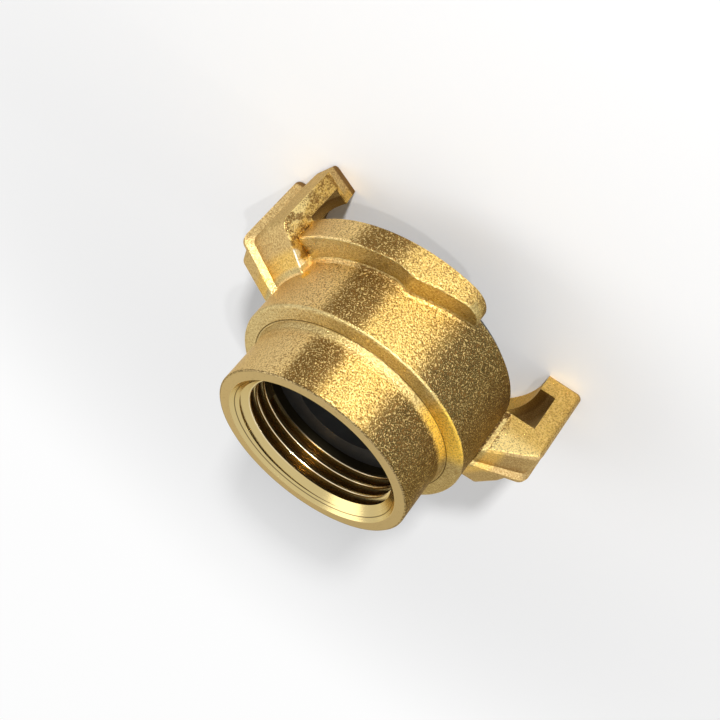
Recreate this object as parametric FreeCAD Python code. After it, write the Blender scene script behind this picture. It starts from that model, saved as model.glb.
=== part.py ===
"""Claw hose coupling with a G 1 female thread.

Three pieces: the forged brass body with its two hooked claws and two cam ears, the rubber seal in
its mating face and the flat rubber gasket at the bottom of the threaded end.

Millimetres, +Z up. The body stands on the flat tips of its claws at Z = 0, with the thread's mouth
up and its axis on Z. The claws are centred on +X and -X. Angles are in degrees about +Z.
"""

import FreeCAD, Part
import math
import os

from FreeCAD import Vector

# Lengths along the axis, from the claw tips up
CLAW_REACH = 12.2
BODY_LENGTH = 17.4
COLLAR_LENGTH = 12.4

# Collar, shoulder and body
COLLAR_WALL = 3.38
COLLAR_FILLET_LENGTH = 2.3
COLLAR_FLARE = 0.45
SHOULDER_DROP = 0.45
BODY_RADIUS = 23.7
SHOULDER_ROUND = 0.45
RIM_CHAMFER = 0.3
MOUTH_CHAMFER = 0.2

# Threaded end: a bore of the crest radius with a right-hand groove cut round it. The gasket lies in
# the same bore, under the thread.
THREAD_RADIUS = 16.62
THREAD_RIDGE = 1.47
THREAD_PITCH = 25.4 / 11
THREAD_FLANK_ANGLE = 27.5
THREAD_DEPTH = 10.8
THREAD_RUN_OUT = 2.4
THREAD_START_ANGLE = 226.1
COUNTERSINK = 1.08
GASKET_THICKNESS = 3.0
GASKET_SINK = 0.2
GASKET_CLEARANCE = 0.1
GASKET_HOLE_RADIUS = 10.3

# Waterway between the threaded end and the seal
PASSAGE_RADIUS = 11.0
PASSAGE_LENGTH = 2.6
SEAL_LEDGE = 2.9

# Seal recess in the mating face, with the groove that holds the seal's bead
RECESS_DEPTH = 5.9
RIM_WALL = 1.4
GROOVE_DEPTH = 0.45
GROOVE_HEIGHT = 2.0
GROOVE_OFFSET = 2.2

# Seal
SEAL_STAND = 1.35
SEAL_WIDTH = 9.8
SEAL_FACE_WIDTH = 5.7
SEAL_LIP_DROP = 1.6
SEAL_ROUND = 0.5

# Ears: a flange of constant rest thickness that rises to a crest and runs out as a helical ramp
EAR_REACH = 5.2
EAR_REST_THICKNESS = 5.1
EAR_CREST_RISE = 0.85
EAR_END_THICKNESS = 2.4
EAR_CREST_START = 64.0
EAR_CREST_ANGLE = 72.5
EAR_END_ANGLE = 101.6
EAR_NOSE_RADIUS = 5.0
EAR_ROOT_FILLET = 0.7
EAR_EDGE_EASE = 0.3

# Claws: the hook's own section, then the rib along its outside and the raised side beyond it
CLAW_HALF_ANGLE = 19.1
CLAW_WALL = 3.3
CLAW_LIP_THICKNESS = 4.05
CLAW_LIP_OVERLAP = 2.4
CLAW_SLOT_CLEARANCE = 0.9
CLAW_BACK_RISE = 9.3
CLAW_BACK_SLOPE = 0.445
CLAW_BACK_FALL = 0.6
CLAW_BEND_RADIUS = 2.2
CLAW_TIP_ROUND = 1.3
CLAW_SIDE_EASE = 0.3
RIB_SIDE_EASE = 0.7
CLAW_LEAD_IN = 1.1
RIB_START_ANGLE = 2.8
RIB_END_ANGLE = 6.2
RIB_FLANK_ANGLE = 0.9
RIB_HEIGHT = 1.6
RIB_BACK_HEIGHT = 1.5
RIB_SIDE_HEIGHT = 0.85
RIB_SIDE_BACK_HEIGHT = 0.7
RIB_SIDE_BACK_SLOPE = 0.516

# How far a block that only cuts or trims stands past the metal
MARGIN = 1.0
GROOVE_STANDOFF = 0.18

# Places that follow from the sizes above
RIM_Z = CLAW_REACH
SHOULDER_Z = RIM_Z + BODY_LENGTH
MOUTH_Z = SHOULDER_Z + COLLAR_LENGTH
THREAD_END_Z = MOUTH_Z - THREAD_DEPTH
STEP_Z = THREAD_END_Z - GASKET_SINK - GASKET_THICKNESS
THREAD_CREST_RADIUS = THREAD_RADIUS - THREAD_RIDGE
COUNTERSINK_RADIUS = THREAD_RADIUS + COUNTERSINK
COLLAR_RADIUS = THREAD_RADIUS + COLLAR_WALL
RECESS_RADIUS = BODY_RADIUS - RIM_WALL
RECESS_Z = RIM_Z + RECESS_DEPTH
GROOVE_Z = RIM_Z + GROOVE_OFFSET
EAR_RADIUS = BODY_RADIUS + EAR_REACH
CLAW_RADIUS = EAR_RADIUS + CLAW_SLOT_CLEARANCE + CLAW_WALL
CLAW_LIP_RADIUS = EAR_RADIUS - CLAW_LIP_OVERLAP
AXIS = Vector(0, 0, 1)
ORIGIN = Vector(0, 0, 0)


def at(radius, height):
    """A point of a profile in the XZ plane."""
    return Vector(radius, 0, height)


def polar(radius, angle, height):
    """A point at a radius and an angle about Z."""
    turn = math.radians(angle)
    return Vector(radius * math.cos(turn), radius * math.sin(turn), height)


def outline(*edges):
    """A closed wire from straight runs, given as point lists, and ready edges, in order."""
    parts = []
    for edge in edges:
        if isinstance(edge, (list, tuple)):
            parts += [Part.makeLine(a, b) for a, b in zip(edge, edge[1:])]
        else:
            parts.append(edge)
    return Part.Wire(parts)


def arc(start, middle, end):
    """An edge along the circle through three points."""
    return Part.Arc(start, middle, end).toShape()


def quarter(centre, start, end):
    """The shorter circular arc about a centre from one point to another."""
    middle = (start - centre) + (end - centre)
    middle.multiply((start - centre).Length / middle.Length)
    return arc(start, centre + middle, end)


def round_points(centre, start, end, steps):
    """Points along the shorter arc about a centre, for an edge rounded by narrow flats."""
    first = start - centre
    last = end - centre
    span = first.getAngle(last)
    points = []
    for step in range(steps + 1):
        share = step / steps
        low = math.sin((1 - share) * span) / math.sin(span)
        high = math.sin(share * span) / math.sin(span)
        points.append(centre + first * low + last * high)
    return points


def turned(*edges):
    """The solid of revolution of a closed profile about Z."""
    return Part.Face(outline(*edges)).revolve(ORIGIN, AXIS, 360)


def opposite(shape):
    """The same shape half a turn round the axis."""
    copy = shape.copy()
    copy.rotate(ORIGIN, AXIS, 180)
    return copy


def body_core():
    """Collar, flared foot, drafted shoulder and cylindrical body, turned in one profile."""
    flare_top = at(COLLAR_RADIUS, SHOULDER_Z + SHOULDER_DROP + COLLAR_FILLET_LENGTH)
    flare_foot = at(COLLAR_RADIUS + COLLAR_FLARE, SHOULDER_Z + SHOULDER_DROP)
    flare_radius = (COLLAR_FILLET_LENGTH ** 2 + COLLAR_FLARE ** 2) / (2 * COLLAR_FLARE)
    flare_centre = at(COLLAR_RADIUS + flare_radius, flare_top.z)
    round_centre = at(BODY_RADIUS - SHOULDER_ROUND, SHOULDER_Z - SHOULDER_ROUND)
    round_top = at(round_centre.x, SHOULDER_Z)
    round_side = at(BODY_RADIUS, round_centre.z)
    return turned(
        [at(0, RIM_Z), at(0, MOUTH_Z), at(COLLAR_RADIUS - MOUTH_CHAMFER, MOUTH_Z),
         at(COLLAR_RADIUS, MOUTH_Z - MOUTH_CHAMFER)]
        + round_points(flare_centre, flare_top, flare_foot, 2)
        + round_points(round_centre, round_top, round_side, 2)
        + [at(BODY_RADIUS, RIM_Z + RIM_CHAMFER), at(BODY_RADIUS - RIM_CHAMFER, RIM_Z),
           at(0, RIM_Z)])


def waterway():
    """Everything bored out of the body: the thread's bore, step, passage and seal recess."""
    groove_radius = RECESS_RADIUS + GROOVE_DEPTH
    return turned(
        [at(0, RIM_Z), at(RECESS_RADIUS, RIM_Z), at(RECESS_RADIUS, GROOVE_Z),
         at(groove_radius, GROOVE_Z + GROOVE_HEIGHT / 2),
         at(RECESS_RADIUS, GROOVE_Z + GROOVE_HEIGHT), at(RECESS_RADIUS, RECESS_Z),
         at(RECESS_RADIUS - SEAL_LEDGE, RECESS_Z), at(PASSAGE_RADIUS, STEP_Z - PASSAGE_LENGTH),
         at(PASSAGE_RADIUS, STEP_Z), at(THREAD_CREST_RADIUS, STEP_Z),
         at(THREAD_CREST_RADIUS, MOUTH_Z), at(0, MOUTH_Z), at(0, RIM_Z)])


def thread_groove():
    """The groove between the thread's ridges: its section swept up a right-hand helix, from the
    run-out at the bottom to past the mouth."""
    taper = math.tan(math.radians(THREAD_FLANK_ANGLE))
    root_half = (THREAD_PITCH / 2 - THREAD_RIDGE * taper) / 2
    inner = THREAD_CREST_RADIUS - GROOVE_STANDOFF
    inner_half = root_half + (THREAD_RADIUS - inner) * taper
    section = outline([at(inner, -inner_half), at(THREAD_RADIUS, -root_half),
                       at(THREAD_RADIUS, root_half), at(inner, inner_half),
                       at(inner, -inner_half)])
    start = THREAD_END_Z + THREAD_RUN_OUT
    helix = Part.makeHelix(THREAD_PITCH, MOUTH_Z + MARGIN - start, THREAD_CREST_RADIUS)
    groove = Part.Wire(helix.Edges).makePipeShell([section], True, True)
    groove.translate(Vector(0, 0, start))
    groove.rotate(ORIGIN, AXIS, THREAD_START_ANGLE)
    return groove


def countersink():
    """The cone that opens the thread at the mouth at 45 degrees."""
    low = THREAD_CREST_RADIUS - MARGIN
    return turned([at(0, MOUTH_Z + low - COUNTERSINK_RADIUS),
                   at(low, MOUTH_Z + low - COUNTERSINK_RADIUS),
                   at(COUNTERSINK_RADIUS + MARGIN, MOUTH_Z + MARGIN), at(0, MOUTH_Z + MARGIN),
                   at(0, MOUTH_Z + low - COUNTERSINK_RADIUS)])


def ear_thickness(angle):
    """Thickness of the ear at an angle past the claw's centre: rest, rise, crest, helical ramp."""
    crest = EAR_REST_THICKNESS + EAR_CREST_RISE
    if angle <= EAR_CREST_START:
        return EAR_REST_THICKNESS
    if angle <= EAR_CREST_ANGLE:
        share = (angle - EAR_CREST_START) / (EAR_CREST_ANGLE - EAR_CREST_START)
        return EAR_REST_THICKNESS + EAR_CREST_RISE * share * share * (3 - 2 * share)
    share = (angle - EAR_CREST_ANGLE) / (EAR_END_ANGLE - EAR_CREST_ANGLE)
    return crest + (EAR_END_THICKNESS - crest) * share


def cam_section(angle):
    """Radial section under the cam face, with the concave fillet where it meets the body."""
    top = RIM_Z + ear_thickness(angle)
    inner = RECESS_RADIUS - MARGIN
    outer = EAR_RADIUS + MARGIN
    low = RIM_Z - MARGIN
    centre = at(BODY_RADIUS + EAR_ROOT_FILLET, top + EAR_ROOT_FILLET)
    fillet = round_points(centre, at(BODY_RADIUS, centre.z), at(centre.x, top), 2)
    points = [at(inner, centre.z)] + fillet + [at(outer, top), at(outer, low), at(inner, low)]
    wire = outline(points + points[:1])
    wire.rotate(ORIGIN, AXIS, -angle)
    return wire


def cam_block():
    """Everything under the cam face: the rest part turned, the rise and the ramp carried through
    evenly spaced radial sections."""
    rest = Part.Face(cam_section(EAR_CREST_START)).revolve(ORIGIN, AXIS, EAR_CREST_START)
    rise_step = (EAR_CREST_ANGLE - EAR_CREST_START) / 4
    rise = [cam_section(EAR_CREST_START + rise_step * step) for step in range(5)]
    ramp_step = (EAR_END_ANGLE - EAR_CREST_ANGLE) / 5
    ramp = [cam_section(EAR_CREST_ANGLE + ramp_step * step) for step in range(7)]
    return rest.fuse([Part.makeLoft(rise, True, False), Part.makeLoft(ramp, True, False)])


def ear_plan():
    """Plan of the ear as an upright block, its free corner rounded into a nose."""
    nose_ring = EAR_RADIUS - EAR_NOSE_RADIUS
    nose_lag = math.degrees(math.asin(EAR_NOSE_RADIUS / nose_ring))
    nose_angle = EAR_END_ANGLE - nose_lag
    centre = polar(nose_ring, -nose_angle, 0)
    nose_start = polar(EAR_RADIUS, -nose_angle, 0)
    nose_end = polar(nose_ring * math.cos(math.radians(nose_lag)), -EAR_END_ANGLE, 0)
    root_start = polar(RECESS_RADIUS, 0, 0)
    root_end = polar(RECESS_RADIUS, -EAR_END_ANGLE, 0)
    plan = outline(
        [root_start, polar(EAR_RADIUS, 0, 0)],
        arc(polar(EAR_RADIUS, 0, 0), polar(EAR_RADIUS, -nose_angle / 2, 0), nose_start),
        quarter(centre, nose_start, nose_end),
        [nose_end, root_end],
        arc(root_end, polar(RECESS_RADIUS, -EAR_END_ANGLE / 2, 0), root_start))
    plan.translate(Vector(0, 0, RIM_Z))
    return Part.Face(plan).extrude(Vector(0, 0, 2 * EAR_REST_THICKNESS))


def middle_of(edge):
    """The point halfway along an edge."""
    return edge.valueAt((edge.FirstParameter + edge.LastParameter) / 2)


def ear():
    """One ear: its plan cut off by the cam face, with the cam's outer edge eased."""
    block = ear_plan().common(cam_block()).Solids[0]
    edges = []
    for edge in block.Edges:
        middle = middle_of(edge)
        on_wall = abs(math.hypot(middle.x, middle.y) - EAR_RADIUS) < 0.01
        if on_wall and min(vertex.Z for vertex in edge.Vertexes) > RIM_Z + EAR_EDGE_EASE:
            edges.append(edge)
    return block.makeChamfer(EAR_EDGE_EASE, edges)


def claw_section(angle, radius, rise, slope):
    """Radial section of the claw: slanted back, bend, outer wall, rounded tip and flat end."""
    slant = math.hypot(1, slope)
    inner = RECESS_RADIUS
    inner_z = RIM_Z + rise + slope * (BODY_RADIUS - inner)
    bend_r = radius - CLAW_BEND_RADIUS
    bend_z = inner_z - slope * (bend_r - inner) - CLAW_BEND_RADIUS * slant
    bend = polar(bend_r, angle, bend_z)
    back_end = polar(bend_r + CLAW_BEND_RADIUS * slope / slant, angle,
                     bend_z + CLAW_BEND_RADIUS / slant)
    wall_start = polar(radius, angle, bend_z)
    tip = polar(radius - CLAW_TIP_ROUND, angle, CLAW_TIP_ROUND)
    wall_end = polar(radius, angle, CLAW_TIP_ROUND)
    tip_start = polar(radius - CLAW_TIP_ROUND, angle, 0)
    return outline([polar(inner, angle, inner_z), back_end],
                   quarter(bend, back_end, wall_start),
                   [wall_start, wall_end],
                   quarter(tip, wall_end, tip_start),
                   [tip_start, polar(inner, angle, 0), polar(inner, angle, inner_z)])


def claw_block():
    """The claw before its slot is cut, carried from its plain side over the rib to the other."""
    plain = (CLAW_RADIUS, CLAW_BACK_RISE, CLAW_BACK_SLOPE)
    back_run = CLAW_RADIUS - CLAW_BEND_RADIUS - BODY_RADIUS
    edge = (CLAW_RADIUS, CLAW_BACK_RISE - CLAW_BACK_FALL,
            CLAW_BACK_SLOPE - CLAW_BACK_FALL / back_run)
    middle = [(a + b) / 2 for a, b in zip(plain, edge)]
    rib = (CLAW_RADIUS + RIB_HEIGHT, CLAW_BACK_RISE + RIB_BACK_HEIGHT, CLAW_BACK_SLOPE)
    side = (CLAW_RADIUS + RIB_SIDE_HEIGHT, CLAW_BACK_RISE + RIB_SIDE_BACK_HEIGHT,
            RIB_SIDE_BACK_SLOPE)
    sections = [
        claw_section(-CLAW_HALF_ANGLE, *edge),
        claw_section((RIB_START_ANGLE - CLAW_HALF_ANGLE) / 2, *middle),
        claw_section(RIB_START_ANGLE, *plain),
        claw_section(RIB_START_ANGLE + RIB_FLANK_ANGLE, *rib),
        claw_section(RIB_END_ANGLE - RIB_FLANK_ANGLE, *rib),
        claw_section(RIB_END_ANGLE, *side),
        claw_section(CLAW_HALF_ANGLE, *side),
    ]
    return Part.makeLoft(sections, True, True)


def side_edges(solid, angle, low_radius):
    """Edges of a claw that lie in one of its radial side faces, outside a radius."""
    normal = Vector(-math.sin(math.radians(angle)), math.cos(math.radians(angle)), 0)
    found = []
    for edge in solid.Edges:
        ends = [vertex.Point for vertex in edge.Vertexes]
        middle = middle_of(edge)
        if all(abs(point.dot(normal)) < 1e-4 for point in ends + [middle]):
            if math.hypot(middle.x, middle.y) > low_radius:
                found.append(edge)
    return found


def lead_in():
    """The wedge taken off the lip's leading side, so that it slides over the mating ear."""
    turn = math.radians(-CLAW_HALF_ANGLE)
    radial = Vector(math.cos(turn), math.sin(turn), 0)
    across = Vector(-math.sin(turn), math.cos(turn), 0)
    start = radial * (CLAW_LIP_RADIUS - MARGIN)
    back = start - across * CLAW_LIP_THICKNESS
    low = Vector(0, 0, -MARGIN)
    slope = CLAW_LEAD_IN * (CLAW_LIP_THICKNESS + MARGIN) / CLAW_LIP_THICKNESS
    profile = outline([start + Vector(0, 0, CLAW_LIP_THICKNESS), start + across * slope + low,
                       back + low, back + Vector(0, 0, CLAW_LIP_THICKNESS),
                       start + Vector(0, 0, CLAW_LIP_THICKNESS)])
    return Part.Face(profile).extrude(radial * (CLAW_RADIUS - CLAW_LIP_RADIUS + 2 * MARGIN))


def claw():
    """One hooked claw on +X: its block, eased sides, turned slot and lip, and lead-in."""
    block = claw_block()
    block = block.makeChamfer(RIB_SIDE_EASE, side_edges(block, CLAW_HALF_ANGLE, BODY_RADIUS))
    block = block.makeChamfer(CLAW_SIDE_EASE, side_edges(block, -CLAW_HALF_ANGLE, BODY_RADIUS))
    slot_radius = EAR_RADIUS + CLAW_SLOT_CLEARANCE
    slot = turned([at(0, CLAW_LIP_THICKNESS), at(slot_radius, CLAW_LIP_THICKNESS),
                   at(slot_radius, RIM_Z), at(0, RIM_Z), at(0, CLAW_LIP_THICKNESS)])
    lip = turned([at(0, -MARGIN), at(CLAW_LIP_RADIUS, -MARGIN), at(CLAW_LIP_RADIUS, RIM_Z),
                  at(0, RIM_Z), at(0, -MARGIN)])
    return block.cut(slot).cut(lip).cut(lead_in())


def body():
    """The forging with both claws and ears, bored and recessed through."""
    one_claw = claw()
    one_ear = ear()
    solid = body_core().fuse([one_claw, opposite(one_claw), one_ear, opposite(one_ear)])
    bored = solid.cut(waterway()).removeSplitter()
    return bored.cut(thread_groove()).cut(countersink())


def coupling_seal():
    """The lip seal: a thick ring with a bead in the groove, a flat face and a funnelled bore."""
    bead_radius = RECESS_RADIUS + GROOVE_DEPTH
    bore_radius = RECESS_RADIUS - SEAL_WIDTH
    face_z = RIM_Z - SEAL_STAND
    round_centre = at(RECESS_RADIUS - SEAL_ROUND, face_z + SEAL_ROUND)
    round_side = at(RECESS_RADIUS, round_centre.z)
    round_face = at(round_centre.x, face_z)
    return turned(
        [at(RECESS_RADIUS, RECESS_Z), at(RECESS_RADIUS, GROOVE_Z + GROOVE_HEIGHT),
         at(bead_radius, GROOVE_Z + GROOVE_HEIGHT / 2), at(RECESS_RADIUS, GROOVE_Z)]
        + round_points(round_centre, round_side, round_face, 2)
        + [at(RECESS_RADIUS - SEAL_FACE_WIDTH, face_z), at(bore_radius, face_z + SEAL_LIP_DROP),
           at(bore_radius, RECESS_Z), at(RECESS_RADIUS, RECESS_Z)])


def thread_gasket():
    """The flat gasket that lies on the step at the bottom of the thread."""
    outer = THREAD_CREST_RADIUS - GASKET_CLEARANCE
    top = STEP_Z + GASKET_THICKNESS
    return turned([at(GASKET_HOLE_RADIUS, STEP_Z), at(outer, STEP_Z), at(outer, top),
                   at(GASKET_HOLE_RADIUS, top), at(GASKET_HOLE_RADIUS, STEP_Z)])


def main():
    os.makedirs("parts", exist_ok=True)
    pieces = {
        "body": body(),
        "coupling_seal": coupling_seal(),
        "thread_gasket": thread_gasket(),
    }
    for name, shape in pieces.items():
        shape.exportStep("parts/" + name + ".step")
        box = shape.BoundBox
        print(name, "solids", len(shape.Solids), "valid", shape.isValid(), "volume",
              round(shape.Volume, 1), "box", [round(v, 2) for v in (box.XMin, box.YMin, box.ZMin,
                                                                    box.XMax, box.YMax, box.ZMax)])


main()
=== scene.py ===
"""Looks of a brass claw hose coupling: blasted and turned brass, black rubber, a pale studio.

The CAD model gives every solid, the cut thread with them. Positions in the materials are in
millimetres in the object's own frame: Z along the axis, the mouth on top, the claws on X.
"""

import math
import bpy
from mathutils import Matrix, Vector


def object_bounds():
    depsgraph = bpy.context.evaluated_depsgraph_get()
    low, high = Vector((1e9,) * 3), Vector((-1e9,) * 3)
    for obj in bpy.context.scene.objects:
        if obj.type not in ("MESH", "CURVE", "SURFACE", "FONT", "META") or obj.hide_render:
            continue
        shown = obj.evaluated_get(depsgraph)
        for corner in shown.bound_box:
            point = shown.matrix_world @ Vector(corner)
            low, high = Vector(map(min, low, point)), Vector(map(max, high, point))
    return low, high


bl_info = {
    "name": "Claw hose coupling",
    "version": (1, 0, 0),
    "blender": (4, 5, 0),
    "location": "3D View > Sidebar > Coupling",
    "description": "Finishes the brass and rubber of a claw hose coupling",
    "category": "Object",
}

import bpy
from mathutils import Matrix, Vector

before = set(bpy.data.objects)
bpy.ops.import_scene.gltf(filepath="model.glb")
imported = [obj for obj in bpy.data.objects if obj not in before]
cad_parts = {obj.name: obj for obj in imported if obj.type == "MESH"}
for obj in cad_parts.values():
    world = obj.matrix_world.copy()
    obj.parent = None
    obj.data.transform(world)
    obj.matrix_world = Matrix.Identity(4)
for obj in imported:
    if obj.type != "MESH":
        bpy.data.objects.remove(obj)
cad_low, cad_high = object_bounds()

MM = 0.001
MOUTH = cad_high.z / MM
WHITE = (1, 1, 1, 1)

# Thread: a groove's middle lies at the start's depth below the mouth and angle from +X. The same
# groove, followed back down its helix, crosses +X at GROOVE_Z.
PITCH = 25.4 / 11
GROOVE_START_DEPTH = 8.4
GROOVE_START_ANGLE = 226.1
GROOVE_Z = MOUTH - GROOVE_START_DEPTH - PITCH * GROOVE_START_ANGLE / 360

# Soft steps: a value that is still outside, then the value from which it is inside. Those of the
# claws' flat sides compare |y / x| with the sides' own.
CLAW_SIDE = math.tan(math.radians(19.1))
WITHIN_CLAW = (CLAW_SIDE + 0.012, CLAW_SIDE + 0.006)
ON_CLAW_SIDE = (CLAW_SIDE - 0.012, CLAW_SIDE - 0.006)
CLAW_ROOT = (24.6, 25.4)
CLAW_BACK = (27.0, 29.0)
CLAW_SEAM = (25.9, 25.0)
CLAW_TIP = (1.5, 1.0)
LEFT_CLAW = (1.0, -1.0)
SIDE_SHOULDER = (14.5, 17.6)
SIDE_CORNER = (35.2, 36.4)
# The next step is painted shade: a dark band along the outer edge of the right claw's side.
SHADED_SIDE_EDGE = (32.6, 33.8)
SLOT_WALL = (28.6, 28.2)
SLOT_TOP = (12.9, 12.5)
SLOT_FLOOR = (3.7, 3.9)
BORE_WALL = (17.85, 17.65)
BORE_FLOOR = (24.5, 25.0)
BELOW_THREAD = (33.2, 32.6)
THREAD_TOP = (39.7, 39.3)
THREAD_END = (32.6, 32.9)
CREST = (0.36, 0.0)
GROOVE = (0.30, 0.75)
MOUTH_FACE = (MOUTH - 0.2, MOUTH - 0.1)
MOUTH_EDGE = (MOUTH - 0.32, MOUTH - 0.2)
MOUTH_RIM = (19.6, 19.75)
FLARE_FOOT = (28.9, 29.3)
FLARE_TOP = (32.4, 30.8)
LEDGE_FOOT = (23.9, 24.3)
LEDGE_RIM = (28.8, 28.6)
LEDGE_HEIGHT = (13.0, 14.5)

# Noises: sizes and depth in millimetres, the coarse grain's size in fine grains, turned rings to
# the millimetre.
COARSE_GRAIN = 4.5
CLOUD_SIZE = 8.0
RINGS_PER_MM = 6.0
RUBBER_GRAIN = 0.35
RUBBER_DEPTH = 0.03
DUST_SIZE = 2.5

# Soft steps of the noises, which run from 0 to 1.
CLOUDS = (0.5, 0.7)
SHADE_AND_TARNISH = (0.12, 0.92)
DENTS = (0.50, 0.40)
SPECKS = (0.53, 0.61)
BLOTS = (0.78, 0.58)
SEAM_CRUMBS = (0.52, 0.46)
PITS = (0.62, 0.70)
EDGE_CRUMBS = (0.58, 0.46)
DUST = (0.5, 0.75)

# Patches round the axis: the middle, then the degrees within which they are full and gone.
# Painted shade: the olive side, the two streaks and the darkest part stand for the dark floor and
# shadow that the wall reflects; the far shade and far streak copy them on the hidden side.
OLIVE_SHADE_SIDE = (40.0, 30.0, 60.0)
FAR_SHADE = (232.0, 14.0, 60.0)
SHADE_STREAK = (124.0, 1.0, 15.0)
FAR_SHADE_STREAK = (300.0, 1.0, 18.0)
DARKEST_SHADE = (18.0, 12.0, 44.0)
# Painted highlight and shade: the grain's bright glints and dark pits are laid on stronger about
# the side where the front lamp's highlight falls, and on its copy on the far side.
RUGGED = (96.0, 26.0, 62.0)
FAR_RUGGED = (276.0, 26.0, 62.0)
# Painted highlight: a yellow glow laid on the shoulder's flare where a low lamp's highlight falls.
GLOW = (50.0, 9.0, 24.0)
# Painted light: the wall's left side is laid on paler, as if lit.
LIT_SIDE = (172.0, 22.0, 52.0)
# Painted shade: the shoulder's end over the right claw is laid on darker.
SHADED_FLARE_END = (10.0, 16.0, 38.0)

# Lines: radius and half width; the first a turned line, the second a ring of painted shade. Spots:
# position and radius.
FLARE_LINE = (20.75, 0.13)
# Painted shade: a dark ring on the countersink for the shaded root of the thread's first groove.
CONE_SHADE_LINE = (17.02, 0.10)
# A trimmed spot by the left claw's root, painted bright yellow as a highlight.
TRIMMED_HIGHLIGHT = ((-21.9, 8.9, 21.1), 1.3)
# Cut facets on the left claw's side, painted near white as highlights.
SHAVED_HIGHLIGHTS = (((-23.6, 8.2, 20.2), 1.7), ((-25.6, 8.9, 19.4), 1.2))
NICKS = (
    ((8.97, 21.94, 20.53), 0.55), ((11.2, 20.89, 17.6), 0.7), ((15.85, 17.62, 14.67), 0.6),
    ((15.79, 17.68, 18.85), 0.5), ((3.35, 23.46, 21.34), 0.35), ((4.54, 23.26, 26.01), 0.4),
)

# Floor: half its side in metres, where it runs out to white in millimetres from the axis, and the
# share of white far out.
FLOOR_HALF = 3.0
FLOOR_RUN_OUT = (60.0, 260.0)
FLOOR_WHITE = 0.95

# Lamps: name, power setting, width and height, angle about the axis, rise and distance, in metres
# and degrees. All are turned to one point over the middle of the object.
LAMPS = (
    ("side_lamp", "side_power", (0.9, 0.9), 200, 42, 1.6),
    ("front_lamp", "front_power", (0.07, 0.06), 101.5, 17.5, 1.0),
    ("back_card", "card_power", (0.8, 0.6), 258, 24, 1.5),
    ("flare_lamp", "flare_power", (0.12, 0.12), 18, 6, 1.0),
    ("spark_lamp", "spark_power", (0.02, 0.02), 81, 38, 1.0),
)
LAMP_TARGET = Vector((0, 0, 0.02))

# Camera: its place in metres, where it looks, which way is right for it, and its lens in
# millimetres, as the photo's outline gives them.
CAMERA_PLACE = (-0.0285, 0.1911, 0.1294)
CAMERA_AHEAD = (0.1123, -0.8647, -0.4895)
CAMERA_ACROSS = (0.7255, 0.4080, -0.5543)
CAMERA_LENS = 60
CAMERA_SENSOR = 36
CAMERA_NEAR = 0.01


def tint(name, about, colour):
    """A colour in the panel."""
    return bpy.props.FloatVectorProperty(name=name, description=about, default=colour,
                                         subtype="COLOR", size=3, min=0, max=1)


def share(name, about, value):
    """A number from 0 to 1 in the panel."""
    return bpy.props.FloatProperty(name=name, description=about, default=value,
                                   subtype="FACTOR", min=0, max=1)


def length(name, about, value):
    """A small length in the panel."""
    return bpy.props.FloatProperty(name=name, description=about, default=value, unit="LENGTH",
                                   precision=5)


def power(name, about, value):
    """A lamp's power in the panel."""
    return bpy.props.FloatProperty(name=name, description=about, default=value, unit="POWER",
                                   min=0)


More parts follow.
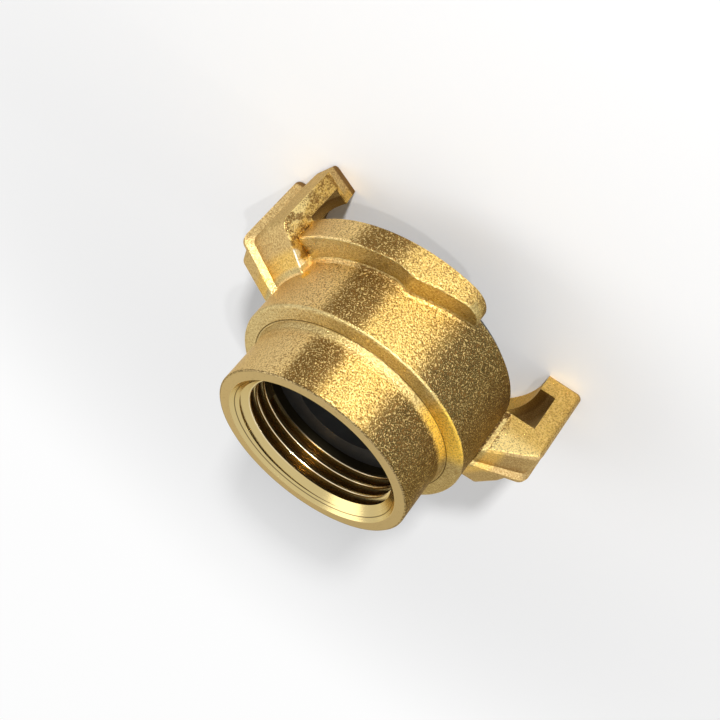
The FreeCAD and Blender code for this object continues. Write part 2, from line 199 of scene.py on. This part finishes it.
class BrassFinish(bpy.types.PropertyGroup):
    """Colours and grain of the forging, painted shade and highlights among the colours."""

    bright: tint("Bright brass", "The blasted skin where it is clean", (0.68, 0.445, 0.12))
    # Bright worn high grains, partly painted highlight: strongest about the side where the front
    # lamp's highlight falls.
    glint: tint("Glint", "The grains that stand out of the skin", (1.0, 0.80, 0.38))
    # Grain pits and blotches, and the painted shade along the right claw's outer edge.
    dent: tint("Dent", "The pits between the grains, and blots", (0.25, 0.135, 0.04))
    # Painted light: the paler tone laid on the wall's left side, as if lit.
    left: tint("Pale side", "The skin on the left", (0.82, 0.63, 0.34))
    matt: tint("Matt brass", "The claws' dull backs", (0.50, 0.365, 0.17))
    # Painted shade: the darker tone of the right claw's back and the shoulder's end over it.
    dull: tint("Dull brass", "The right claw's back and the shoulder over it",
               (0.28, 0.19, 0.08))
    side: tint("Claw sides", "The claws' flat sides", (0.72, 0.47, 0.12))
    # Painted highlight: the bright bands along the edges of the claws' sides.
    painted_sheen: tint("Sheen", "The shiny edges of the claws' sides", (1.0, 0.80, 0.34))
    # Painted shade: the dark laid in the claws' slots and on the left claw's tip.
    slot: tint("Slot", "The claws' slots and tips", (0.17, 0.085, 0.03))
    # Painted highlight: the near white laid on the cut facets of the left claw's side.
    shaved_highlight: tint("Shaved brass", "The cut facet on the left claw's side", (0.98, 0.95, 0.84))
    # Painted highlight: the yellow of the shoulder's glow and of the trimmed spot by the left
    # claw.
    glow: tint("Glow", "The yellow patch of the shoulder, and the trimmed spot",
               (1.0, 0.62, 0.07))
    ledge: tint("Ledge", "The ears' tops and the shoulder", (0.40, 0.35, 0.16))
    pale: tint("Cut brass", "The countersink and the bore", (0.58, 0.455, 0.205))
    face: tint("Mouth face", "The turned face of the mouth", (0.43, 0.32, 0.155))
    # Painted light: the crests laid on pale as highlights, the grooves dark and the bore below the
    # thread near black as shade.
    crest: tint("Thread crests", "The crests of the thread", (1.0, 0.86, 0.60))
    groove: tint("Thread grooves", "The grooves of the thread", (0.16, 0.075, 0.028))
    inside: tint("Inside", "The bore below the thread", (0.012, 0.010, 0.008))
    # Painted shade: olive, brown and darkest tones for the wall's dark sides and streaks, mixed
    # with random patina; the darkest also colours nicks and lines.
    olive: tint("Olive tarnish", "The greenish tarnish on the right", (0.060, 0.046, 0.018))
    brown: tint("Brown tarnish", "The brown tarnish", (0.112, 0.062, 0.017))
    dark: tint("Dark tarnish", "The darkest tarnish, nicks and lines", (0.050, 0.024, 0.008))
    rim: tint("Edge tint", "What the brass turns to where it is seen edge on",
              (0.80, 0.66, 0.45))
    grain: length("Grain", "Size of the blasted skin's grains", 0.31 * MM)
    grain_height: length("Grain height", "How far the grains stand out", 0.2 * MM)
    roughness: share("Roughness", "Roughness of the blasted skin", 0.30)
    cut_roughness: share("Cut roughness", "Roughness of the turned surfaces", 0.20)


class RubberFinish(bpy.types.PropertyGroup):
    """Colours of the two rubber rings."""

    seal: tint("Seal", "The lip seal", (0.022, 0.022, 0.024))
    gasket: tint("Gasket", "The flat gasket", (0.008, 0.008, 0.008))
    dust: tint("Dust", "The faint dust on both", (0.09, 0.085, 0.08))
    roughness: share("Roughness", "Roughness of the moulded rubber", 0.55)


class StageSettings(bpy.types.PropertyGroup):
    """The pale floor, the soft light from all round and the lamps."""

    floor: tint("Floor", "Colour of the floor", (0.93, 0.93, 0.93))
    fill: bpy.props.FloatProperty(
        name="Fill", description="Strength of the even light from all round", default=0.38,
        min=0, soft_max=2)
    side_power: power("Side lamp", "Power of the wide lamp on the left", 4.5)
    front_power: power("Front lamp", "Power of the lamp beside the camera", 12.0)
    spark_power: power("Spark lamp", "Power of the small lamp that glints on the thread", 1.4)
    flare_power: power("Flare lamp", "Power of the low lamp that glows on the shoulder", 1.4)
    card_power: power("Back card", "Power of the dim wide card behind the object", 0.5)


class Wire:
    """A shader value. Arithmetic on it adds the Math nodes that work it out."""

    def __init__(self, paint, socket):
        self.paint = paint
        self.socket = socket

    def maths(self, operation, *others):
        """This value through one Math node, with others if it takes more than one."""
        return self.paint.node("ShaderNodeMath", {"operation": operation}, self, *others)

    def __add__(self, other):
        return self.maths("ADD", other)

    __radd__ = __add__

    def __mul__(self, other):
        return self.maths("MULTIPLY", other)

    __rmul__ = __mul__

    def __sub__(self, other):
        return self.maths("SUBTRACT", other)

    def __rsub__(self, other):
        return self.paint.node("ShaderNodeMath", {"operation": "SUBTRACT"}, other, self)

    def __truediv__(self, other):
        return self.maths("DIVIDE", other)

    def __pow__(self, other):
        return self.maths("POWER", other)


def find_socket(sockets, key):
    """A socket by its place, or by its name or identifier, where _ may stand for a space."""
    if isinstance(key, int):
        return sockets[key]
    names = (key, key.replace("_", " "))
    return next(s for s in sockets if s.identifier in names or s.name in names)


class Paint:
    """The nodes of a new material, or of a world's tree, while they are laid out."""

    def __init__(self, name, tree=None):
        if tree is None:
            self.material = bpy.data.materials.new(name)
            self.material.use_nodes = True
            tree = self.material.node_tree
        self.tree = tree
        self.tree.nodes.clear()

    def node(self, kind, settings, *values, out=0, **named):
        """One node of any type: its settings first, then the values or wires of its sockets."""
        made = self.tree.nodes.new(kind)
        for key, value in settings.items():
            setattr(made, key, value)
        for key, value in (*enumerate(values), *named.items()):
            into = find_socket(made.inputs, key)
            if isinstance(value, Wire):
                self.tree.links.new(value.socket, into)
            else:
                into.default_value = value
        return Wire(self, find_socket(made.outputs, out)) if made.outputs else None

    def place(self):
        """Object coordinates in millimetres, as a vector and as its three numbers."""
        coordinates = self.node("ShaderNodeTexCoord", {}, out="Object")
        scaled = self.node("ShaderNodeVectorMath", {"operation": "SCALE"}, coordinates,
                           Scale=1 / MM)
        apart = self.node("ShaderNodeSeparateXYZ", {}, scaled)
        numbers = [Wire(self, apart.socket.node.outputs[axis]) for axis in "XYZ"]
        return scaled, *numbers

    def noise(self, where, size, detail=2.0, roughness=0.5):
        """Noise from 0 to 1 with grains of a size in millimetres."""
        return self.node("ShaderNodeTexNoise", {}, Vector=where, Scale=1 / size, Detail=detail,
                         Roughness=roughness)

    def ease(self, value, low, high):
        """0 below low and 1 above high, with a smooth step between. It falls if low is larger."""
        return self.node("ShaderNodeMapRange", {"interpolation_type": "SMOOTHSTEP"}, value, low,
                         high, 0.0, 1.0)

    def mix(self, part, first, second):
        """A colour from first, where part is 0, to second, where it is 1."""
        first, second = (colour if isinstance(colour, Wire) else (*colour, 1.0)
                         for colour in (first, second))
        return self.node("ShaderNodeMix", {"data_type": "RGBA"}, Factor_Float=part,
                         A_Color=first, B_Color=second, out="Result_Color")

    def spot(self, where, centre, radius):
        """1 inside a ball about a point and 0 outside, eased over its outer half."""
        away = self.node("ShaderNodeVectorMath", {"operation": "DISTANCE"}, where, centre,
                         out="Value")
        return self.ease(away, radius, radius / 2)

    def band(self, value, middle, half):
        """1 at a value's middle, eased to 0 at half a width to either side."""
        return self.ease((value - middle).maths("ABSOLUTE"), half, half / 3)

    def finish(self, colour, metal, rough, bump, edge=(1.0, 1.0, 1.0)):
        """Closes the material with one Principled shader. Edge tints what is seen edge on."""
        shader = self.node("ShaderNodeBsdfPrincipled", {}, Base_Color=colour, Metallic=metal,
                           Roughness=rough, Specular_Tint=(*edge, 1.0), Normal=bump)
        self.node("ShaderNodeOutputMaterial", {}, shader)
        return self.material


class Forging:
    """The brass body: where each kind of surface is, as shares from 0 to 1, and its finish."""

    def __init__(self, settings):
        self.settings = settings
        self.paint = Paint("cast_brass")
        self.where, self.x, self.y, self.z = self.paint.place()
        self.r = (self.x * self.x + self.y * self.y) ** 0.5
        self.left = self.paint.ease(self.x, *LEFT_CLAW)

        grain = settings.grain / MM
        self.fine = self.paint.noise(self.where, grain, 3.0, 0.6)
        self.coarse = self.paint.noise(self.where, COARSE_GRAIN * grain, 3.0)
        self.find_surfaces()
        self.find_claw_parts()
        self.find_thread()
        self.find_shade_and_tarnish()
        self.find_marks()

    def patch(self, angle, inner, outer):
        """1 within inner degrees of an angle about the axis and 0 outside outer degrees."""
        turn = math.radians(angle)
        cosine = (self.x * math.cos(turn) + self.y * math.sin(turn)) / self.r
        return self.paint.ease(cosine, math.cos(math.radians(outer)),
                               math.cos(math.radians(inner)))

    def find_surfaces(self):
        """The bore, the mouth's face, the cast skin, the claws, the shoulder and the ledges."""
        ease, r, z = self.paint.ease, self.r, self.z
        self.bore = ease(r, *BORE_WALL) * ease(z, *BORE_FLOOR)
        self.face = ease(z, *MOUTH_FACE) * (1 - self.bore)
        self.cast = 1 - self.bore - self.face
        lean = (self.y / self.x).maths("ABSOLUTE")
        self.claw = ease(r, *CLAW_ROOT) * ease(lean, *WITHIN_CLAW)
        self.side = self.claw * ease(lean, *ON_CLAW_SIDE)
        self.back = (self.claw - self.side) * ease(r, *CLAW_BACK)
        self.flare = ease(z, *FLARE_FOOT) * ease(z, *FLARE_TOP) * self.cast
        ledge = ease(r, *LEDGE_FOOT) * ease(r, *LEDGE_RIM) * ease(z, *LEDGE_HEIGHT)
        self.ledge = ledge * (1 - self.claw)

    def find_claw_parts(self):
        """The claws' sides: painted highlight along their edges, painted shade along the right
        claw's outer edge, dark blotches that are partly painted shade, the seam; and the slots and
        the left claw's tip, painted darker as shade.
        """
        ease, r, z, side, left = self.paint.ease, self.r, self.z, self.side, self.left
        # Painted highlight along the edges of the claws' sides.
        self.painted_sheen = side * ease(z, *SIDE_SHOULDER) * (1 - left)
        self.painted_sheen = self.painted_sheen + side * left * ease(r + 0.35 * z, *SIDE_CORNER)
        # Painted shade along the right claw's outer edge.
        self.rim = side * (1 - left) * ease(r, *SHADED_SIDE_EDGE)
        # Dark blotches, mostly on the left claw's side: partly random tone, partly painted shade.
        self.blots_and_shade = ease(self.coarse + 0.4 * self.fine, *BLOTS) * side * (0.1 + 0.7 * left)
        self.seam = side * ease(r, *CLAW_SEAM) * ease(self.fine, *SEAM_CRUMBS)
        # Painted shade: the claws' slots and the left claw's tip.
        slot = (self.claw - side) * ease(r, *SLOT_WALL) * ease(z, *SLOT_TOP)
        self.slot = slot * ease(z, *SLOT_FLOOR) + left * self.claw * ease(z, *CLAW_TIP)

    def find_thread(self):
        """The thread's crests and grooves, and the bore below it: painted highlight on the crests,
        painted shade in the grooves and the bore.
        """
        ease, z = self.paint.ease, self.z
        turn = self.y.maths("ARCTAN2", self.x) / (2 * math.pi)
        phase = ((z - GROOVE_Z) / PITCH - turn).maths("FRACT")
        from_crest = (phase - 0.5).maths("ABSOLUTE") * PITCH
        thread = self.bore * ease(z, *THREAD_TOP) * ease(z, *THREAD_END)
        self.crest = ease(from_crest, *CREST) * thread
        self.groove = ease(from_crest, *GROOVE) * thread
        self.inside = ease(z, *BELOW_THREAD) * self.bore

    def find_shade_and_tarnish(self):
        """Painted shade round the wall in olive and brown, with random patina, and the dents and
        glints of its grain.
        """
        ease, fine, cast, claw = self.paint.ease, self.fine, self.cast, self.claw
        wall = cast * (1 - claw) * (1 - 0.85 * self.ledge) * (1 - 0.9 * self.flare)
        # Painted shade: dark sides and streaks where the wall reflects shadow, with random patina
        # clouds.
        self.olive = self.patch(*OLIVE_SHADE_SIDE)
        shade = self.olive + 0.8 * self.patch(*FAR_SHADE)
        shade_streak = self.patch(*SHADE_STREAK) + self.patch(*FAR_SHADE_STREAK)
        clouds = ease(self.paint.noise(self.where, CLOUD_SIZE, 3.0), *CLOUDS)
        shade_and_tarnish = wall * (shade + 0.86 * shade_streak) + 0.14 * clouds * cast
        spread = (0.5 - fine) + (0.5 - self.coarse) * 0.5
        brown = ease(shade_and_tarnish + spread * (1 - 0.6 * claw), *SHADE_AND_TARNISH)
        self.brown = brown * cast * (1 - 0.75 * claw)

        # Painted highlight and shade: the grain's glints and pits are stronger about the lit side
        # and its copy.
        rugged = 0.50 + 0.40 * (self.patch(*RUGGED) + self.patch(*FAR_RUGGED)) * wall
        self.dents = ease(fine, *DENTS) * cast * rugged
        self.specks = ease(fine, *SPECKS) * cast
        self.glints = self.specks * rugged

    def find_marks(self):
        """Nicks, the turned line on the shoulder, pits and the mouth's worn edge; a ring of
        painted shade on the countersink; and the trimmed spot and cut facets by the left claw,
        painted bright as highlights.
        """
        paint, r = self.paint, self.r
        self.nick = self.spots(NICKS)
        self.line = paint.band(r, *FLARE_LINE) * self.flare
        # Painted shade: the dark ring on the countersink.
        self.step = paint.band(r, *CONE_SHADE_LINE) * self.bore
        self.pits = paint.ease(self.fine, *PITS) * self.face
        edge = paint.ease(self.z, *MOUTH_EDGE) * paint.ease(r, *MOUTH_RIM)
        self.edge = edge * paint.ease(self.fine, *EDGE_CRUMBS)
        # A trimmed spot, painted bright as a highlight.
        self.trim_highlight = paint.spot(self.where, *TRIMMED_HIGHLIGHT)
        # Cut facets, painted near white as highlights.
        self.shaved_highlight = self.side * self.spots(SHAVED_HIGHLIGHTS)

    def spots(self, places):
        """All of a list's spots together."""
        marks = [self.paint.spot(self.where, centre, radius) for centre, radius in places]
        return sum(marks[1:], marks[0])

    def colour(self):
        """The brass's colour, laid on in layers from the clean skin up, painted shade and
        highlights among them.
        """
        mix, tones = self.paint.mix, self.settings
        # Painted shade in olive, brown and darkest tones, mixed with random patina.
        shade_and_tarnish_tone = mix(self.olive, tones.brown, tones.olive)
        shade_and_tarnish_tone = mix(self.patch(*DARKEST_SHADE), shade_and_tarnish_tone, tones.dark)
        # Painted shade on the right claw's back and the shoulder's end over it.
        dull = self.flare * self.patch(*SHADED_FLARE_END) + self.back * (1 - self.left)
        # Painted highlight: a yellow glow on the shoulder's flare.
        glow = self.flare * self.patch(*GLOW)
        # Grain pits, blotches and seam, with painted shade along the right claw's outer edge.
        stains_and_shade = self.dents + self.blots_and_shade + self.seam * 0.7 + self.rim * 0.6
        lines = self.nick * 0.3 + self.line * 0.8 + self.step * 0.75
        layers = (
            (self.bore + self.face * 0.8 + 0.5 * self.flare, tones.pale),
            (self.back * 0.85, tones.matt),
            # Painted light: the wall's left side, paler as if lit.
            (self.patch(*LIT_SIDE) * 0.6 * (self.cast - self.claw), tones.left),
            (self.ledge * 0.7 + 0.45 * self.flare, tones.ledge),
            (dull * 0.5, tones.dull),
            (self.face * 0.8, tones.face),
            (self.side * 0.55, tones.side),
            (self.glints * 0.5, tones.glint),
            (glow * 0.8 + self.trim_highlight * 0.8, tones.glow),
            (self.painted_sheen * 0.8, tones.painted_sheen),
            (self.brown * (1 - 0.6 * self.specks), shade_and_tarnish_tone),
            (stains_and_shade, tones.dent),
            # Painted shade in the slots, darker on the left claw, and on the left claw's tip.
            (self.slot * (0.55 + 0.3 * self.left), tones.slot),
            (lines + self.pits * 0.45 + self.edge * 0.7, tones.dark),
            # Painted shade in the grooves and the bore below the thread, painted highlight on the
            # crests.
            (self.groove * 0.62, tones.groove),
            (self.crest, tones.crest),
            (self.inside * 0.96, tones.inside),
            (self.shaved_highlight, tones.shaved_highlight),
        )
        colour = tones.bright
        for part, layer in layers:
            colour = mix(part, colour, layer)
        return colour

    def rough(self):
        """Roughness of the skin, the claws, the turned surfaces, and of the brown painted shade
        and patina.
        """
        skin = (self.settings.roughness + 0.15 * (self.coarse - 0.5) + self.back * 0.16
                - self.side * 0.08)
        skin = skin * (1 - self.bore - self.face * 0.9)
        turned = self.settings.cut_roughness * self.bore + 0.34 * self.face
        return skin + turned + 0.3 * self.inside + 0.12 * self.brown

    def bump(self):
        """Grain, nicks, turned rings and rounded thread crests."""
        paint = self.paint
        across = paint.node("ShaderNodeCombineXYZ", {}, self.r * RINGS_PER_MM,
                            self.z * RINGS_PER_MM, 0.0)
        rings = paint.noise(across, 1.0, 2.0) * (self.bore + self.face)
        lumps = self.fine + self.coarse * 0.7
        height = lumps * (self.cast * (1 - 0.45 * self.claw) + self.face * 0.12)
        height = height - self.nick * 1.5 - self.line * 0.6 + rings * 0.10 + self.crest * 0.8
        return paint.node("ShaderNodeBump", {}, Strength=1.0,
                          Distance=self.settings.grain_height, Height=height)

    def material(self):
        """The finished material."""
        return self.paint.finish(self.colour(), 1.0, self.rough(), self.bump(),
                                 self.settings.rim)


def rubber(name, colour, settings):
    """Moulded rubber: a fine matt skin with faint dust."""
    paint = Paint(name)
    where, *_ = paint.place()
    skin = paint.noise(where, RUBBER_GRAIN, 3.0)
    dust = paint.ease(paint.noise(where, DUST_SIZE, 4.0), *DUST)
    shown = paint.mix(dust * 0.1, colour, settings.dust)
    rough = settings.roughness + 0.2 * (skin - 0.5)
    bump = paint.node("ShaderNodeBump", {}, Strength=0.6, Distance=RUBBER_DEPTH * MM,
                      Height=skin)
    return paint.finish(shown, 0.0, rough, bump)


def wear(piece, material):
    """Gives a piece one material."""
    piece.data.materials.clear()
    piece.data.materials.append(material)


class COUPLING_OT_brass(bpy.types.Operator):
    """Finish the forging in blasted and turned brass"""

    bl_idname = "coupling.finish_brass"
    bl_label = "Finish the brass"

    def execute(self, context):
        wear(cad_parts["body"], Forging(context.scene.coupling_brass).material())
        return {"FINISHED"}


class COUPLING_OT_rubber(bpy.types.Operator):
    """Finish the lip seal and the flat gasket in black rubber"""

    bl_idname = "coupling.finish_rubber"
    bl_label = "Finish the rubber"

    def execute(self, context):
        settings = context.scene.coupling_rubber
        wear(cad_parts["coupling_seal"], rubber("seal_rubber", settings.seal, settings))
        wear(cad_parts["thread_gasket"],
             rubber("gasket_rubber", settings.gasket, settings))
        return {"FINISHED"}


def lamp(name, watts, size, angle, rise, distance):
    """An area lamp at an angle about the axis and a rise above the floor, turned to the object."""
    light = bpy.data.lights.new(name, "AREA")
    light.shape = "RECTANGLE"
    light.size, light.size_y = size
    light.energy = watts
    made = bpy.data.objects.new(name, light)
    turn, lift = math.radians(angle), math.radians(rise)
    reach = Vector((math.cos(turn) * math.cos(lift), math.sin(turn) * math.cos(lift),
                    math.sin(lift)))
    made.location = LAMP_TARGET + reach * distance
    made.rotation_euler = reach.to_track_quat("Z", "Y").to_euler()
    bpy.context.scene.collection.objects.link(made)


def seen_rays(paint):
    """1 for what the camera sees, straight on or by way of metal and glass, and 0 for the rest."""
    seen = paint.node("ShaderNodeLightPath", {}, out="Is Camera Ray")
    sockets = seen.socket.node.outputs
    for ray in ("Is Glossy Ray", "Is Transmission Ray"):
        seen = seen + Wire(paint, sockets[ray])
    return seen


def pale_floor(settings):
    """Matt floor that keeps the object's shadow and runs out to plain white away from it."""
    paint = Paint("pale_floor")
    _, x, y, _ = paint.place()
    far = paint.ease((x * x + y * y) ** 0.5, *FLOOR_RUN_OUT)
    matt = paint.node("ShaderNodeBsdfDiffuse", {}, (*settings.floor, 1.0))
    white = paint.node("ShaderNodeEmission", {}, WHITE, 1.0)
    share_of_white = far * seen_rays(paint) * FLOOR_WHITE
    both = paint.node("ShaderNodeMixShader", {}, share_of_white, matt, white)
    paint.node("ShaderNodeOutputMaterial", {}, both)
    return paint.material


def white_world(settings):
    """World that fills with soft light and looks white to the camera and in the metal."""
    world = bpy.data.worlds.new("soft_fill")
    world.use_nodes = True
    paint = Paint(world.name, world.node_tree)
    strength = settings.fill + seen_rays(paint) * (1 - settings.fill)
    background = paint.node("ShaderNodeBackground", {}, WHITE, strength)
    paint.node("ShaderNodeOutputWorld", {}, background)
    return world


def photo_camera():
    """The camera that sees the object as the photo does."""
    view = bpy.data.cameras.new("camera")
    view.lens = CAMERA_LENS
    view.sensor_width = CAMERA_SENSOR
    view.clip_start = CAMERA_NEAR
    camera = bpy.data.objects.new("camera", view)
    ahead = Vector(CAMERA_AHEAD).normalized()
    across = Vector(CAMERA_ACROSS)
    across = (across - ahead * across.dot(ahead)).normalized()
    turned = Matrix((across, across.cross(ahead), -ahead)).transposed().to_4x4()
    camera.matrix_world = Matrix.Translation(CAMERA_PLACE) @ turned
    return camera


class COUPLING_OT_stage(bpy.types.Operator):
    """Set up the pale floor, the soft lamps and the camera"""

    bl_idname = "coupling.set_stage"
    bl_label = "Set up the stage"

    def execute(self, context):
        settings = context.scene.coupling_stage
        scene = context.scene
        half = FLOOR_HALF
        mesh = bpy.data.meshes.new("floor")
        mesh.from_pydata([(-half, -half, 0), (half, -half, 0), (half, half, 0),
                          (-half, half, 0)], [], [(0, 1, 2, 3)])
        floor = bpy.data.objects.new("floor", mesh)
        scene.collection.objects.link(floor)
        wear(floor, pale_floor(settings))

        scene.world = white_world(settings)
        for name, watts, *place in LAMPS:
            lamp(name, getattr(settings, watts), *place)

        scene.camera = photo_camera()
        scene.collection.objects.link(scene.camera)
        scene.view_settings.view_transform = "Standard"
        return {"FINISHED"}


class COUPLING_PT_panel(bpy.types.Panel):
    """The coupling's steps and settings"""

    bl_label = "Claw hose coupling"
    bl_space_type = "VIEW_3D"
    bl_region_type = "UI"
    bl_category = "Coupling"

    def draw(self, context):
        for operator, group in STEPS:
            column = self.layout.column()
            column.operator(operator.bl_idname)
            settings = getattr(context.scene, group)
            for name in settings.__annotations__:
                column.prop(settings, name)


GROUPS = {
    "coupling_brass": BrassFinish,
    "coupling_rubber": RubberFinish,
    "coupling_stage": StageSettings,
}
STEPS = (
    (COUPLING_OT_brass, "coupling_brass"),
    (COUPLING_OT_rubber, "coupling_rubber"),
    (COUPLING_OT_stage, "coupling_stage"),
)


def register():
    for name, group in GROUPS.items():
        bpy.utils.register_class(group)
        setattr(bpy.types.Scene, name, bpy.props.PointerProperty(type=group))
    for operator, _ in STEPS:
        bpy.utils.register_class(operator)
    bpy.utils.register_class(COUPLING_PT_panel)


def unregister():
    bpy.utils.unregister_class(COUPLING_PT_panel)
    for operator, _ in STEPS:
        bpy.utils.unregister_class(operator)
    for name, group in GROUPS.items():
        delattr(bpy.types.Scene, name)
        bpy.utils.unregister_class(group)


def main():
    """Runs all steps."""
    register()
    bpy.ops.coupling.finish_brass()
    bpy.ops.coupling.finish_rubber()
    bpy.ops.coupling.set_stage()


if __name__ == "__main__":
    main()
